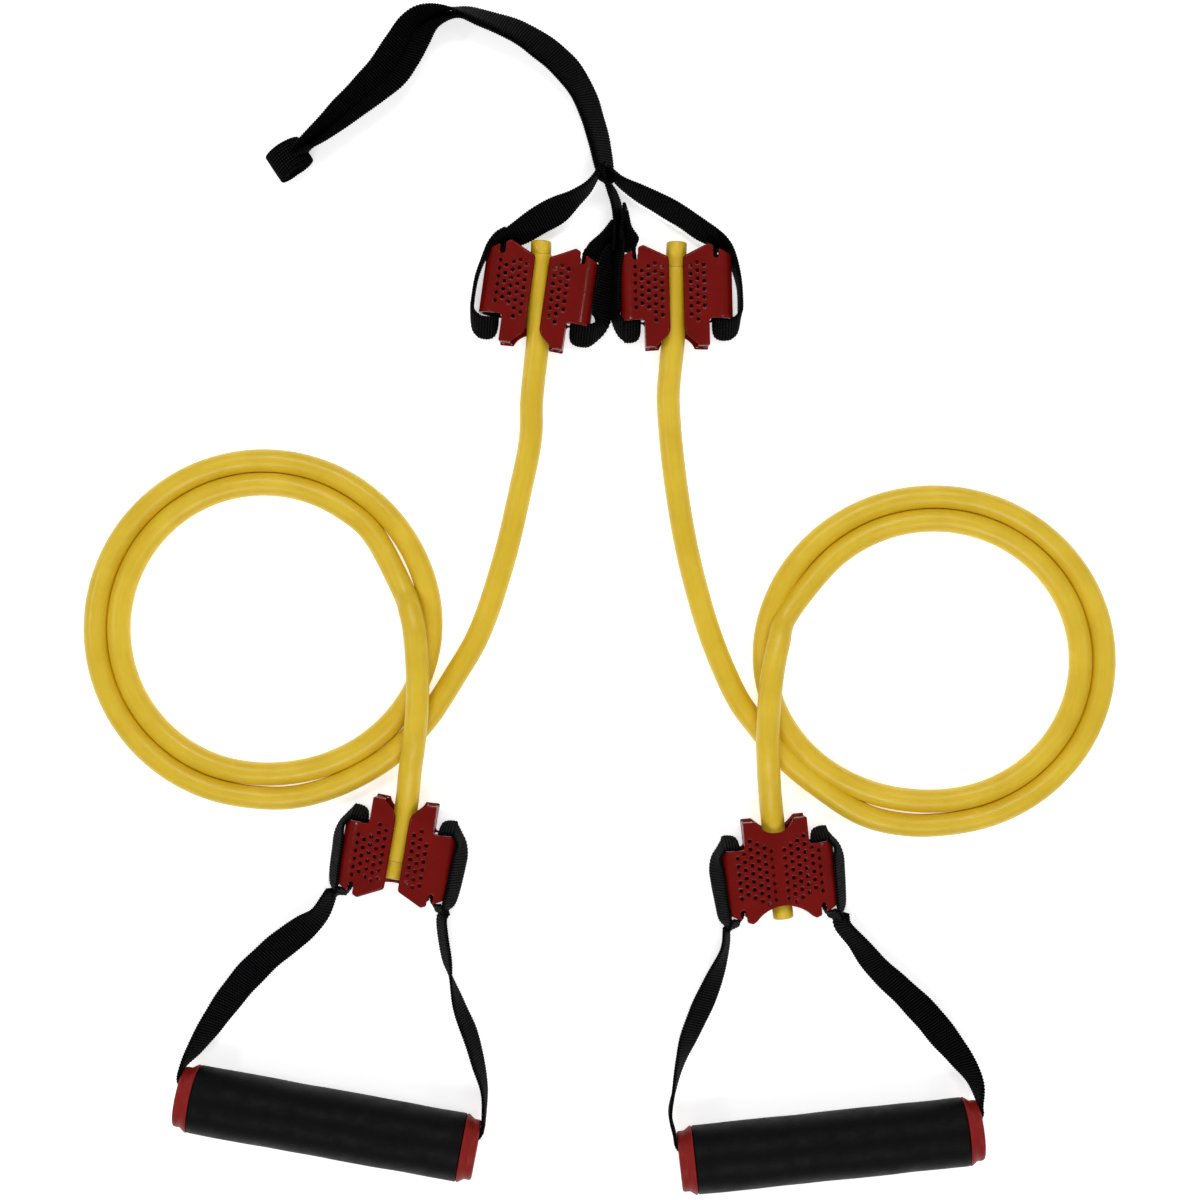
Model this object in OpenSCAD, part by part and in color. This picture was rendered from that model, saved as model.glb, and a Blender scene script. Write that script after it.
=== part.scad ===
// Resistance tube trainer laid out flat: two latex tubes, four moulded jaw clamps,
// two stirrup handles and a webbing door anchor.
// +X right, +Y away from the handles, +Z up from the floor that everything lies on.

/* [Tube] */
// Outside diameter of the latex tube
tube_d = 11; // [9:0.5:12]
// Diameter of the plug's head that shows past the tube's end
plug_d = 9.6; // [7:0.2:11]
// Lengths of the plugs' heads: left anchor, right anchor, left handle, right handle
plug_lens = [7, 12.6, 9, 8.7]; // [5:0.1:13]

/* [Webbing] */
// Width of the webbing
web_w = 15; // [12:0.5:15]
// Thickness of one layer of webbing
web_t = 1.8; // [1.2:0.1:2]

/* [Clamp] */
// Width across both jaws
clamp_w = 52.4; // [50:0.2:54]
// Length from the horn tips to the peaks
clamp_len = 47; // [46:0.5:48]
// Depth from the back panel to the front panel
clamp_d = 18.5; // [17.5:0.5:20]
// Wall thickness of the moulding
clamp_wall = 1.6; // [1.2:0.1:2]
// Width of the slit in the front that the tube is pressed through
slit_w = 6.4; // [5:0.2:8]
// Width of the slot that each loop leaves by
slot_w = 2.7; // [2.2:0.1:3.2]

/* [Handle] */
// Length of a grip over its end caps
grip_len = 140; // [125:1:150]
// Outside diameter of the foam
foam_d = 31.2; // [28:0.2:34]
// Visible length of an end cap
cap_len = 7; // [6:0.5:9]
// Outside diameter of the rigid core tube
core_d = 22; // [21:0.5:24]

/* [Hidden] */

$fn = 48;
red = [0.55, 0.08, 0.07];
latex = [0.93, 0.78, 0.18];
black = [0.07, 0.07, 0.08];
grey = [0.35, 0.35, 0.37];

mid_z = clamp_d / 2;      // height of everything that runs through a clamp
floor_z = tube_d / 2;     // height of a tube that lies on the floor
grip_z = foam_d / 2;      // height of a grip's axis

// Places of the clamps: middle of the length, turn about Z, and whether the back faces up
left_anchor = [-19, 140.4, -8, false];
right_anchor = [45.5, 140.2, 1.5, false];
left_handle = [-83.8, -117.2, 170.5, false];
right_handle = [93.2, -125.6, 186, true];

// Places of the grips: middle of the length, and turn about Z
left_grip = [-116, -243, -10.3];
right_grip = [116.5, -253.5, 6];

// ---- smooth routes ----

// A point between p1 and p2 on the smooth curve that also passes p0 and p3
function smooth_point(p0, p1, p2, p3, t) =
    0.5 * (2 * p1 + (p2 - p0) * t + (2 * p0 - 5 * p1 + 4 * p2 - p3) * t * t
        + (3 * p1 - p0 - 3 * p2 + p3) * t * t * t);

// The route through a few stations, with n steps between each pair
function smooth(stations, n) = [
    for (i = [0 : len(stations) - 2])
        for (k = [0 : n - 1])
            smooth_point(stations[max(i - 1, 0)], stations[i], stations[i + 1],
                stations[min(i + 2, len(stations) - 1)], k / n),
    stations[len(stations) - 1]
];

function unit(v) = v / norm(v);
function xyz(p) = [p[0], p[1], p[2]];
function heading(path, i) =
    unit(xyz(path[min(i + 1, len(path) - 1)]) - xyz(path[max(i - 1, 0)]));
function level_side(t) = unit([-t[1], t[0], 0]);

// Side faces between rings of m points, and the two end faces
function skin(rings, m) = concat(
    [for (i = [0 : rings - 2], k = [0 : m - 1])
        [i * m + k, (i + 1) * m + k, i * m + (k + 1) % m]],
    [for (i = [0 : rings - 2], k = [0 : m - 1])
        [i * m + (k + 1) % m, (i + 1) * m + k, (i + 1) * m + (k + 1) % m]],
    [[for (k = [0 : m - 1]) k]],
    [[for (k = [0 : m - 1]) rings * m - 1 - k]]
);

// A round tube along a route of [x, y, z] points
module tube_along(stations, n) {
    sides = 10;
    path = smooth(stations, n);
    points = [for (i = [0 : len(path) - 1])
        let (t = heading(path, i), s = level_side(t), u = cross(t, s))
            for (k = [0 : sides - 1])
                path[i] + tube_d / 2 * (cos(360 * k / sides) * s + sin(360 * k / sides) * u)];
    polyhedron(points = points, faces = skin(len(path), sides), convexity = 10);
}

// Webbing along stations of [x, y, z, roll, width]: roll 0 lies flat, 90 stands on edge
module webbing_along(stations, n = 3, lift = 0, thickness = web_t) {
    path = smooth(stations, n);
    points = [for (i = [0 : len(path) - 1])
        let (p = path[i], t = heading(path, i),
            across = cos(p[3]) * level_side(t) + [0, 0, sin(p[3])],
            out = unit(cross(t, across)), c = xyz(p) + lift * out,
            w = p[4] / 2 * across, h = thickness / 2 * out)
            each [c + w + h, c - w + h, c - w - h, c + w - h]];
    polyhedron(points = points, faces = skin(len(path), 4), convexity = 10);
}

// ---- clamps ----

// Clamp frame: u across from the slit, v from the horn tips to the peaks, z from the back
module at_clamp(place) {
    translate([place[0], place[1], 0])
        rotate([0, 0, place[2]])
            translate([0, -clamp_len / 2, 0])
                if (place[3]) translate([0, 0, clamp_d]) rotate([0, 180, 0]) children();
                else children();
}

// Where a clamp's point u, v lies on the floor plan
function from_clamp(place, u, v) =
    let (side = place[3] ? -u : u, along = v - clamp_len / 2)
        [place[0] + side * cos(place[2]) - along * sin(place[2]),
         place[1] + side * sin(place[2]) + along * cos(place[2])];

shoulder_v = 12.7;    // the wing's outer part starts here, beyond the horn
horn_u = 14.9;        // outer side of the horn, and the place of the peak
slot_u = 18.8;        // middle of the strap slot
side_r = 7.5;         // rounding of the outer sides
hinge_u = 1;          // where the jaw starts, beside the hinge web
hinge_z = 1.25;       // height of the hinge line, the middle of the web
hinge_t = 0.5;        // thickness of the web
hinge_w = 1.2;        // its width
valley_d = 1.3;       // depth of the valley along the hinge
valley_u = 4;         // half width of that valley
bead_r = 1.4;         // radius of the bead along the slit
wall_u = 13.8;        // where the wall between the tube's channel and the webbing's stands
wall_t = 0.95;        // its thickness, so that it stays clear of the holes on both sides
hinge_from_v = 6.5;   // the web runs from the notch at the entrance
hinge_to_v = 39.9;    // to the arch at the tube's end

function arc(cx, cy, r, from, to, n = 6) =
    [for (i = [0 : n]) let (a = from + (to - from) * i / n) [cx + r * cos(a), cy + r * sin(a)]];

// The outer side of the outline, the same for the front and the back panel
outer_side = concat(
    arc(horn_u - 1.2, 1.2, 1.2, -90, 0),
    arc(horn_u + 1.5, shoulder_v - 1.5, 1.5, 180, 90),
    [[clamp_w, shoulder_v], [clamp_w, clamp_len - 16], [clamp_w / 2, clamp_len - 4.8]],
    arc(horn_u, clamp_len - 1.6, 1.6, 65, 110)
);
front_outline = concat(
    outer_side,
    arc(slit_w / 2 + 1.8, clamp_len - 6.6, 1.8, 108, 180),
    arc(slit_w / 2 + 6.8, 9, 6.8, 180, 245),
    [[slit_w / 2 + 6.5, 0]]
);
back_outline = concat(
    outer_side,
    arc(0, clamp_len + 10, 16.9, -39.7, -90),
    arc(0, -2.7, 9, 90, 19.4)
);

// Columns of holes: distance from the middle, height of the first hole, and how many
hole_d = 1.8;
hole_pitch = 3.75;
wide_holes = [
    [6.65, 14.5, 7], [9.75, 12.2, 8], [12.85, 18.4, 6], [15.95, 20.2, 5], [19.05, 18.4, 6]
];
narrow_holes = [[6.65, 14.5, 7], [9.75, 12.2, 8], [12.85, 18.4, 6]];
back_holes = [
    [2.9, 14.4, 7], [6.1, 12.5, 8], [9.3, 10.7, 8], [12.5, 8.8, 8], [15.7, 14.4, 6],
    [18.9, 16.2, 6]
];

module holes(columns, z) {
    for (c = columns, k = [0 : c[2] - 1])
        translate([c[0], c[1] + k * hole_pitch, z])
            cylinder(h = 3 * clamp_wall, d = hole_d, center = true);
}

module rounded_rectangle(w, h, r) {
    square([w - 2 * r, h], center = true);
    square([w, h - 2 * r], center = true);
    for (x = [-1, 1], y = [-1, 1])
        translate([x * (w / 2 - r), y * (h / 2 - r)]) circle(r);
}

// Section of the right-hand jaw: a flattened tube, slit in front and thinned at the back
module jaw_section() {
    difference() {
        translate([0, mid_z]) rounded_rectangle(clamp_w, clamp_d, side_r);
        translate([0, mid_z])
            rounded_rectangle(clamp_w - 2 * clamp_wall, clamp_d - 2 * clamp_wall,
                side_r - clamp_wall);
        translate([-slit_w / 2, mid_z]) square([slit_w, clamp_d]);
        translate([hinge_u - clamp_w, -1]) square([clamp_w, clamp_d + 2]);
        polygon([[-1, -1], [valley_u, -1], [valley_u, 0], [0, valley_d], [-1, valley_d]]);
    }
    // the front edge is rolled inwards to a bead that holds the tube
    translate([slit_w / 2 + bead_r, clamp_d - bead_r]) circle(bead_r);
    // the wall between the tube's channel and the webbing's
    translate([wall_u, clamp_wall / 2]) square([wall_t, clamp_d - clamp_wall]);
}

module right_hand_jaw(front_holes) {
    color(red)
        difference() {
            intersection() {
                translate([0, clamp_len, 0])
                    rotate([90, 0, 0])
                        linear_extrude(clamp_len) jaw_section();
                union() {
                    translate([0, 0, mid_z]) linear_extrude(clamp_d) polygon(front_outline);
                    translate([0, 0, -1]) linear_extrude(mid_z + 1) polygon(back_outline);
                }
            }
            // slot for the loop of webbing, through both panels
            translate([slot_u, clamp_len - 5.3, -1]) {
                cylinder(h = clamp_d + 2, d = slot_w);
                translate([-slot_w / 2, 0, 0]) cube([slot_w, 10, clamp_d + 2]);
            }
            holes(front_holes, clamp_d - clamp_wall / 2);
            holes(back_holes, clamp_wall / 2);
        }
}

module jaw(place, side, front_holes) {
    at_clamp(place)
        if (side > 0) right_hand_jaw(front_holes);
        else mirror([1, 0, 0]) right_hand_jaw(front_holes);
}

// The thin web that the two jaws fold about
module hinge_web(place) {
    color(red)
        at_clamp(place)
            translate([-hinge_w / 2, hinge_from_v, hinge_z - hinge_t / 2])
                cube([hinge_w, hinge_to_v - hinge_from_v, hinge_t]);
}

// ---- loops of webbing round the clamps' wings ----

// From the throat, down the outside, round the shoulder, through the wing and out of the slot
function loop_route(entry, out_u, bottom_v, exit) = [
    for (p = concat(entry,
        [[out_u, 28], [out_u, 17], [out_u - 1, 9.5], [24.2, bottom_v], [19.9, 7.5],
         [slot_u, 14], [slot_u, 28], [slot_u, clamp_len - 5]], exit))
        [p[0], p[1], mid_z, 90, web_w]
];
top_throat_v = clamp_len + 2.5;
inner_throat_v = clamp_len + 5;
handle_loop = loop_route([[28.4, clamp_len], [30.2, 39]], 30.4, 5, [[25.6, clamp_len]]);
outer_loop = loop_route([[16.6, top_throat_v], [25.8, clamp_len - 2], [28.8, 39]], 30, 2.5,
    [[14.6, top_throat_v]]);
inner_loop = loop_route([[26.6, inner_throat_v], [27.6, 44]], 27.6, 3, [[23.4, inner_throat_v]]);

module clamp_loop(place, side, route) {
    color(black)
        at_clamp(place)
            if (side > 0) webbing_along(route);
            else mirror([1, 0, 0]) webbing_along(route);
}

// ---- straps between the loops and the handles or the anchor ----

neck_w = 2;       // a strap narrows to this where it folds, so that it can swing
neck_gap = 1.4;   // from the fold line to the end of each half of the neck

// Fold points of the straps, where a handle or the anchor strap swings
left_fold_a = [-121.5, -147.5];
left_fold_b = [-62.5, -159];
right_fold_a = [65.5, -171.5];
right_fold_b = [126.5, -158.5];
anchor_fold = [11.5, 203];

// Where each loop's two ends meet the strap, just past the loop
throat_gap = 1.2;
left_throat_a = from_clamp(left_handle, 27, clamp_len + throat_gap);
left_throat_b = from_clamp(left_handle, -27, clamp_len + throat_gap);
right_throat_a = from_clamp(right_handle, -27, clamp_len + throat_gap);
right_throat_b = from_clamp(right_handle, 27, clamp_len + throat_gap);

function toward(from, to, d) = from + d * unit(to - from);
function station(p, z, roll, w) = [p[0], p[1], z, roll, w];

// The short tail from a clamp's throat to the fold
module tail(throat, fold) {
    color(black)
        webbing_along([station(throat, mid_z, 90, web_w * 0.95),
            station(toward(fold, throat, neck_gap), mid_z, 90, neck_w)], 2);
}

// A point beside a grip's end: a outwards from the cap's face, h away from the grip's axis
function by_cap(place, end, a, h) =
    [place[0] + end * (grip_len / 2 + a) * cos(place[2]) - h * sin(place[2]),
     place[1] + end * (grip_len / 2 + a) * sin(place[2]) + h * cos(place[2])];

// From inside the grip round the cap's flared mouth
function cap_turn(place, end) = [
    for (p = [[-10, 0], [-3.4, 1.2], [0.7, 4.4], [2, 8.6], [1.9, 12.6]])
        station(by_cap(place, end, p[0], p[1]), grip_z, 90, web_w)
];

neck_len = 12;    // from the fold line to where a leg has its full width

// From the fold through the middle stations to the grip
module leg(fold, middle, place, end) {
    next = [middle[0][0], middle[0][1]];
    neck = [station(toward(fold, next, neck_gap), mid_z, 90, neck_w),
            station(toward(fold, next, neck_len), mid_z, 90, web_w)];
    turn = cap_turn(place, end);
    color(black)
        webbing_along(concat(neck, middle, [for (i = [4 : -1 : 0]) turn[i]]));
}

left_leg_a = [
    [-140, -163.5, 8.5, 132, 15], [-153, -174.5, 9, 128, 15], [-162, -184, 9, 126, 15],
    [-170, -194, 10, 118, 15], [-175.5, -203, 11.5, 110, 15], [-181, -212, 14, 98, 15]
];
left_leg_b = [
    [-60, -178.5, 9, 90, 15], [-55.5, -191, 9, 106, 15], [-50.5, -203.5, 10, 109, 15],
    [-47, -216, 11.5, 105, 15], [-44, -228.5, 13.5, 95, 15]
];
right_leg_a = [
    [57, -192.5, 9, 116, 15], [51.5, -205, 10, 112, 15], [47.5, -216.5, 12, 100, 15],
    [44.5, -228.5, 14, 95, 15], [42.8, -239, 15, 90, 15]
];
right_leg_b = [
    [142.5, -176, 8.5, 55, 15], [155, -187.5, 9, 49, 15], [167, -201.5, 10, 49, 15],
    [176, -213, 11.5, 63, 15], [182.5, -223, 14, 72, 15]
];

module core_strap(place) {
    color(black)
        translate([place[0], place[1], grip_z])
            rotate([0, 0, place[2]])
                cube([grip_len - 20, web_t, web_w], center = true);
}

// The four straps that gather at the junction, each from its loop's throat
branch_left = [
    station(from_clamp(left_anchor, -15.6, top_throat_v + throat_gap), mid_z, 90, web_w),
    [-22, 176.5, mid_z, 78, 15], [-11, 182, mid_z, 66, 15], [-3, 187, mid_z, 78, 15],
    [3.4, 190, mid_z, 90, 15]
];
branch_mid_left = [
    station(from_clamp(left_anchor, 25, inner_throat_v + throat_gap), mid_z, 90, web_w),
    [10.2, 180, mid_z, 90, 15], [9.5, 188.3, mid_z, 90, 15]
];
branch_mid_right = [
    station(from_clamp(right_anchor, -25, inner_throat_v + throat_gap), mid_z, 90, web_w),
    [16.5, 181, mid_z, 90, 15], [14.2, 188.3, mid_z, 90, 15]
];
branch_right = [
    station(from_clamp(right_anchor, 15.6, top_throat_v + throat_gap), mid_z, 90, web_w),
    [50, 178, mid_z, 102, 15], [38, 184.5, mid_z, 114, 15], [28, 189, mid_z, 102, 15],
    [19.6, 191.5, mid_z, 90, 15]
];

module branch(stations) {
    color(black) webbing_along(stations);
}

module junction() {
    color(black) {
        translate([4, 188.5, mid_z - web_w / 2]) cube([15, 8, web_w]);
        webbing_along([[11.5, 196.3, mid_z, 90, 11], station(anchor_fold - [0, neck_gap], mid_z,
            90, neck_w)], 2, thickness = 2 * web_t);
    }
}

// Both layers of the door strap follow this line, a little apart
anchor_route = [
    [11.5, 203 + neck_gap, mid_z, 90, neck_w], [10.5, 214, mid_z, 90, 15], [5.5, 230, 9, 80, 15],
    [-2.5, 245, 8.6, 72, 15], [-16, 257.5, 8.6, 74, 15], [-33, 267, 8.6, 72, 15],
    [-50, 272.5, 8.6, 74, 15], [-65, 273.5, 8.5, 72, 15], [-75, 268, 8, 60, 15],
    [-82, 256, 7.6, 50, 15], [-91, 243.5, 7.6, 48, 15], [-103, 232, 7.6, 48, 15],
    [-115, 222.5, 8, 40, 15], [-126.4, 213.3, 8.3, 20, 15]
];

module door_strap(side) {
    color(black) webbing_along(anchor_route, 2, lift = side * (web_t / 2 + 0.1));
}

stopper_d = 16;
stopper_core_d = 8;
stopper = [-133, 208, 38.5];    // place and turn about Z

module at_stopper() {
    translate([stopper[0], stopper[1], stopper_d / 2 + 0.3])
        rotate([0, 0, stopper[2]])
            rotate([90, 0, 0])
                children();
}

module stopper_core() {
    color(grey) at_stopper() cylinder(h = web_w + 1, d = stopper_core_d, center = true);
}

module stopper_wrap() {
    color(black)
        at_stopper()
            difference() {
                cylinder(h = web_w, d = stopper_d, center = true);
                cylinder(h = web_w + 2, d = stopper_core_d, center = true);
            }
}

// ---- tubes ----

left_coil = [-147.5, -14];
right_coil = [166.5, -29];
coil_r = 73.2;        // middle of the two turns that lie side by side
turn_gap = 10.9;      // between the middles of the two turns
coil_skin = 0.1;      // the band's rounding falls short of a full half circle by this

module coil(place) {
    color(latex)
        translate([place[0], place[1], 0])
            rotate_extrude($fn = 96)
                translate([coil_r, floor_z])
                    rounded_rectangle(tube_d + turn_gap, tube_d, tube_d / 2 - coil_skin);
}

// Each lead runs from its plug in a clamp, down the middle, and into the coil's outer turn
left_lead = [
    [-17.6, 159.6, 9.25], [-18.4, 140, 9.25], [-18.8, 122, 9.2], [-20.5, 107, 6.6],
    [-22, 92, 5.6], [-22.6, 74, 5.5], [-27.3, 50.5, 5.5], [-35, 18, 5.5],
    [-46, -15, 5.5], [-59, -38, 5.5], [-70, -55, 5.5], [-80, -66, 5.5], [-93, -77, 5.5]
];
right_lead = [
    [45.4, 153.5, 9.25], [44.9, 138, 9.25], [44.2, 121, 9.2], [43, 108, 6.6],
    [42, 93, 5.6], [43.7, 69, 5.5], [47.4, 41, 5.5], [53, 13, 5.5],
    [62, -18, 5.5], [73.5, -45, 5.5], [84, -60, 5.5], [97, -75, 5.5], [110, -86, 5.5]
];
// Each tail climbs out of the coil's inner turn, over the outer turn and the lead, to a clamp
left_tail = [
    [-82, 4, 8], [-78, -6, 14], [-75.5, -18, 17.2], [-74.3, -36, 17.4],
    [-74.5, -50, 17.4], [-75.3, -60, 17.4], [-76.5, -70, 16], [-78.5, -82, 11.5], [-80, -95, 9.3],
    [-82.4, -108, 9.25], [-85.2, -121.5, 9.25]
];
right_tail = [
    [97, -8, 8], [93, -20, 14], [90, -34, 17.2], [88.2, -50, 17.4],
    [87.6, -66, 17.4], [88, -77, 16], [89, -89, 11.5], [90.2, -100, 9.3],
    [92.4, -122, 9.25], [94.6, -140.5, 9.25]
];

module tube(stations) {
    color(latex) tube_along(stations, 2);
}

plug_step = 0.6;      // the head's end is stepped in by this

// The plug's head continues the tube's last stretch
module plug(stations, end, length) {
    last = end > 0 ? len(stations) - 1 : 0;
    before = end > 0 ? last - 1 : 1;
    p = stations[last];
    d = p - stations[before];
    color(latex)
        translate([p[0], p[1], mid_z])
            rotate([0, 0, atan2(d[1], d[0])])
                rotate([0, 90, 0]) {
                    cylinder(h = length - plug_step, d = plug_d);
                    cylinder(h = length, d = plug_d - 2 * plug_step);
                }
}

// ---- grips ----

module at_grip(place) {
    translate([place[0], place[1], grip_z])
        rotate([0, 0, place[2]])
            rotate([0, 90, 0])
                children();
}

sleeve_d = core_d - 3;     // the caps' sleeves fit the core tube's bore
bore_d = 16.4;             // the strap passes here, and the grip turns about it
rim_r = foam_d / 2 - 1.9;  // the cap steps down from the foam to this radius
mouth_r = 3.2;             // flare of the cap's mouth

module grip_foam(place) {
    color(black)
        at_grip(place)
            rotate_extrude()
                difference() {
                    translate([foam_d / 4, 0])
                        rounded_rectangle(foam_d / 2, grip_len - 2 * cap_len, 1);
                    translate([-1, -grip_len / 2]) square([core_d / 2 + 1, grip_len]);
                }
}

module grip_core(place) {
    color(grey)
        at_grip(place)
            difference() {
                cylinder(h = grip_len - 2 * cap_len, d = core_d, center = true);
                cylinder(h = grip_len, d = sleeve_d, center = true);
            }
}

// Cap section: radius outwards, and 0 at the face with the foam at -cap_len
cap_section = concat(
    [[sleeve_d / 2, -cap_len], [foam_d / 2, -cap_len], [foam_d / 2, 0.8 - cap_len],
     [rim_r, 3.6 - cap_len]],
    arc(rim_r - 1.2, -1.2, 1.2, 0, 90),
    arc(bore_d / 2 + mouth_r, -mouth_r, mouth_r, 90, 180),
    [[bore_d / 2, -cap_len - 14], [sleeve_d / 2, -cap_len - 14]]
);

module grip_cap(place, end) {
    color(red)
        at_grip(place)
            mirror([0, 0, end > 0 ? 0 : 1])
                translate([0, 0, grip_len / 2])
                    rotate_extrude()
                        polygon(cap_section);
}

// ---- every node ----

tube(left_lead);  // left_tube_lead
coil(left_coil);  // left_tube_coil
tube(left_tail);  // left_tube_tail
plug(left_lead, 0, plug_lens[0]);  // left_tube_anchor_plug
plug(left_tail, 1, plug_lens[2]);  // left_tube_handle_plug
tube(right_lead);  // right_tube_lead
coil(right_coil);  // right_tube_coil
tube(right_tail);  // right_tube_tail
plug(right_lead, 0, plug_lens[1]);  // right_tube_anchor_plug
plug(right_tail, 1, plug_lens[3]);  // right_tube_handle_plug

jaw(left_anchor, -1, wide_holes);  // left_anchor_clamp_jaw_a
jaw(left_anchor, 1, narrow_holes);  // left_anchor_clamp_jaw_b
hinge_web(left_anchor);  // left_anchor_clamp_hinge
jaw(right_anchor, -1, wide_holes);  // right_anchor_clamp_jaw_a
jaw(right_anchor, 1, narrow_holes);  // right_anchor_clamp_jaw_b
hinge_web(right_anchor);  // right_anchor_clamp_hinge
jaw(left_handle, -1, narrow_holes);  // left_handle_clamp_jaw_a
jaw(left_handle, 1, wide_holes);  // left_handle_clamp_jaw_b
hinge_web(left_handle);  // left_handle_clamp_hinge
jaw(right_handle, -1, narrow_holes);  // right_handle_clamp_jaw_a
jaw(right_handle, 1, wide_holes);  // right_handle_clamp_jaw_b
hinge_web(right_handle);  // right_handle_clamp_hinge

clamp_loop(left_anchor, -1, outer_loop);  // left_anchor_loop_a
clamp_loop(left_anchor, 1, inner_loop);  // left_anchor_loop_b
clamp_loop(right_anchor, -1, inner_loop);  // right_anchor_loop_a
clamp_loop(right_anchor, 1, outer_loop);  // right_anchor_loop_b
clamp_loop(left_handle, -1, handle_loop);  // left_handle_loop_a
clamp_loop(left_handle, 1, handle_loop);  // left_handle_loop_b
clamp_loop(right_handle, -1, handle_loop);  // right_handle_loop_a
clamp_loop(right_handle, 1, handle_loop);  // right_handle_loop_b

branch(branch_left);  // anchor_branch_left
branch(branch_mid_left);  // anchor_branch_mid_left
branch(branch_mid_right);  // anchor_branch_mid_right
branch(branch_right);  // anchor_branch_right
junction();  // anchor_junction
door_strap(1);  // anchor_strap_outer
door_strap(-1);  // anchor_strap_inner
stopper_core();
stopper_wrap();

tail(left_throat_a, left_fold_a);  // left_handle_tail_a
tail(left_throat_b, left_fold_b);  // left_handle_tail_b
tail(right_throat_a, right_fold_a);  // right_handle_tail_a
tail(right_throat_b, right_fold_b);  // right_handle_tail_b
leg(left_fold_a, left_leg_a, left_grip, -1);  // left_handle_leg_a
leg(left_fold_b, left_leg_b, left_grip, 1);  // left_handle_leg_b
core_strap(left_grip);  // left_handle_core_strap
leg(right_fold_a, right_leg_a, right_grip, -1);  // right_handle_leg_a
leg(right_fold_b, right_leg_b, right_grip, 1);  // right_handle_leg_b
core_strap(right_grip);  // right_handle_core_strap

grip_foam(left_grip);  // left_grip_foam
grip_core(left_grip);  // left_grip_core
grip_cap(left_grip, -1);  // left_grip_cap_a
grip_cap(left_grip, 1);  // left_grip_cap_b
grip_foam(right_grip);  // right_grip_foam
grip_core(right_grip);  // right_grip_core
grip_cap(right_grip, -1);  // right_grip_cap_a
grip_cap(right_grip, 1);  // right_grip_cap_b
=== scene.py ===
"""Blender scene of the resistance tube trainer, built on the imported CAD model.

The object lies flat on the floor and is seen from straight above. A clamp's own frame is u across
from the slit, v from the horn tips to the peaks, z from the back.
"""
import math

import bpy
import numpy as np
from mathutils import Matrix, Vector, geometry


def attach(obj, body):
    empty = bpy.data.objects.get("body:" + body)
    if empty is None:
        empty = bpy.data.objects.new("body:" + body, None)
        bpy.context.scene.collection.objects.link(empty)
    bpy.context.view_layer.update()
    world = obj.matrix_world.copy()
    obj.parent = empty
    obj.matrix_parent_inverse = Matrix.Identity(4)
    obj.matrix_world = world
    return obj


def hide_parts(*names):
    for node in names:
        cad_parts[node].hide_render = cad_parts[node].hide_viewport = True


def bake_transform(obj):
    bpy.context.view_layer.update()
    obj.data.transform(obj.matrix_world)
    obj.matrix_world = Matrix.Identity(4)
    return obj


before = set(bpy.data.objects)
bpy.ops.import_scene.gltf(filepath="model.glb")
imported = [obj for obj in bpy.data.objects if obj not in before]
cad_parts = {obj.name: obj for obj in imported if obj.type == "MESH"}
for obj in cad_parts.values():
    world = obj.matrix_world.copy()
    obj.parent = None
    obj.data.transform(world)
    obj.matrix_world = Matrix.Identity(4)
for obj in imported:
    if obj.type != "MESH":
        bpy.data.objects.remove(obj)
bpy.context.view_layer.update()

MM = 0.001
UP = np.array([0, 0, 1.0])

# ---- camera ----

CAMERA_PLACE = (0.01004, -0.0007, 0.95)  # metres
VIEW_WIDTH = 0.5604  # metres across the picture at the height VIEW_HEIGHT
VIEW_HEIGHT = 0.008
SENSOR = 36.0


def camera():
    data = bpy.data.cameras.new("camera")
    data.sensor_width = SENSOR
    data.lens = SENSOR * (CAMERA_PLACE[2] - VIEW_HEIGHT) / VIEW_WIDTH
    data.clip_start = 0.01
    obj = bpy.data.objects.new("camera", data)
    obj.location = CAMERA_PLACE
    bpy.context.scene.collection.objects.link(obj)
    bpy.context.scene.camera = obj


camera()

# ---- the part's sizes, as in the CAD source ----

TUBE_D = 10.9
PLUG_D = 9.6
WEB_W = 15.0
WEB_T = 1.8
CLAMP_W = 52.4
CLAMP_LEN = 47.0
CLAMP_D = 18.5
CLAMP_WALL = 1.6
SLIT_W = 6.4
SLOT_U = 18.8
SLOT_W = 2.7
SLOT_DEPTH = 5.3
GRIP_LEN = 140.0
FOAM_D = 31.2
CAP_LEN = 7.0
BORE_D = 16.4
MID_Z = CLAMP_D / 2
FLOOR_Z = 5.5
GRIP_Z = FOAM_D / 2

# Clamp: middle of its length, turn about Z in degrees, and whether its back faces up
CLAMPS = {
    "left_anchor": (-19, 140.4, -8, False),
    "right_anchor": (45.5, 140.2, 1.5, False),
    "left_handle": (-83.8, -117.2, 170.5, False),
    "right_handle": (93.2, -125.6, 186, True),
}
# Grip: middle of its length, and turn about Z
GRIPS = {"left": (-116, -243, -10.3), "right": (116.5, -253.5, 6)}

# ---- routes and meshes ----


def cos_sin(degrees):
    return math.cos(math.radians(degrees)), math.sin(math.radians(degrees))


def smooth(stations, n):
    """The smooth curve through the stations, with n steps between each pair, as in the CAD."""
    p = np.array(stations, float)
    last = len(p) - 1
    t = np.arange(n)[:, None] / n
    out = []
    for i in range(last):
        a, b, c, d = p[max(i - 1, 0)], p[i], p[i + 1], p[min(i + 2, last)]
        out.append(
            0.5 * (2 * b + (c - a) * t + (2 * a - 5 * b + 4 * c - d) * t**2
                   + (3 * b - a - 3 * c + d) * t**3)
        )
    return np.vstack(out + [p[-1:]])


def lengths(path):
    """The distance along the path to each of its points."""
    steps = np.linalg.norm(np.diff(path[:, :3], axis=0), axis=1)
    return np.concatenate([[0], np.cumsum(steps)])


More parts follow.
